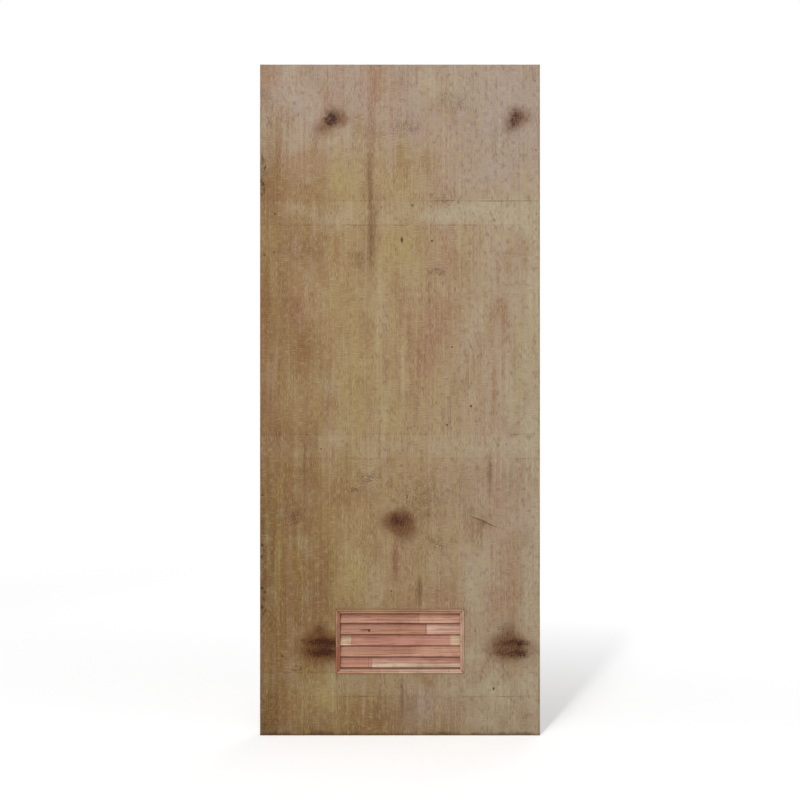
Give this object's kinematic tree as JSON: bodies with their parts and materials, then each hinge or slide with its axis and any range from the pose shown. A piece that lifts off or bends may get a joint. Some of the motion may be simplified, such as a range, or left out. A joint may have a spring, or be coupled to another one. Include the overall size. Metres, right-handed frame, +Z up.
{
  "type": "flush door",
  "caption": "Unfinished wooden flush door leaf, faced in knotty veneer, with a slatted timber louver framed by mitred beads near its foot.",
  "frame": {"origin": "foot of the hinge edge, in the middle of the leaf's thickness", "axes": "+Z up along the hinge edge, +X across the leaf towards the lock edge, -Y out of the front face"},
  "size_m": [0.876, 0.048, 2.1],
  "materials": {
    "face_veneer": "bare sanded knotty pine veneer, matt",
    "frame_wood": "bare planed softwood, matt",
    "louver_wood": "bare moulded finger-jointed timber, matt"
  },
  "bodies": {
    "root": {"front_skin": "face_veneer", "back_skin": "face_veneer", "hinge_stile": "frame_wood", "lock_stile": "frame_wood", "louver_trimmer_left": "frame_wood", "louver_trimmer_right": "frame_wood", "louver_jamb_left": "louver_wood", "louver_jamb_right": "louver_wood", "louver_head": "louver_wood", "louver_sill": "louver_wood", "bottom_rail": "frame_wood", "louver_sill_rail": "frame_wood", "louver_head_rail": "frame_wood", "lock_rail": "frame_wood", "upper_rail": "frame_wood", "top_rail": "frame_wood", "core_rib_1": "frame_wood", "core_rib_2": "frame_wood", "core_rib_3": "frame_wood", "core_rib_4": "frame_wood", "slat_1": "louver_wood", "slat_2": "louver_wood", "slat_3": "louver_wood", "slat_4": "louver_wood", "slat_5": "louver_wood", "front_bead_left": "louver_wood", "front_bead_top": "louver_wood", "front_bead_right": "louver_wood", "front_bead_bottom": "louver_wood", "back_bead_left": "louver_wood", "back_bead_top": "louver_wood", "back_bead_right": "louver_wood", "back_bead_bottom": "louver_wood"}
  },
  "joints": []
}
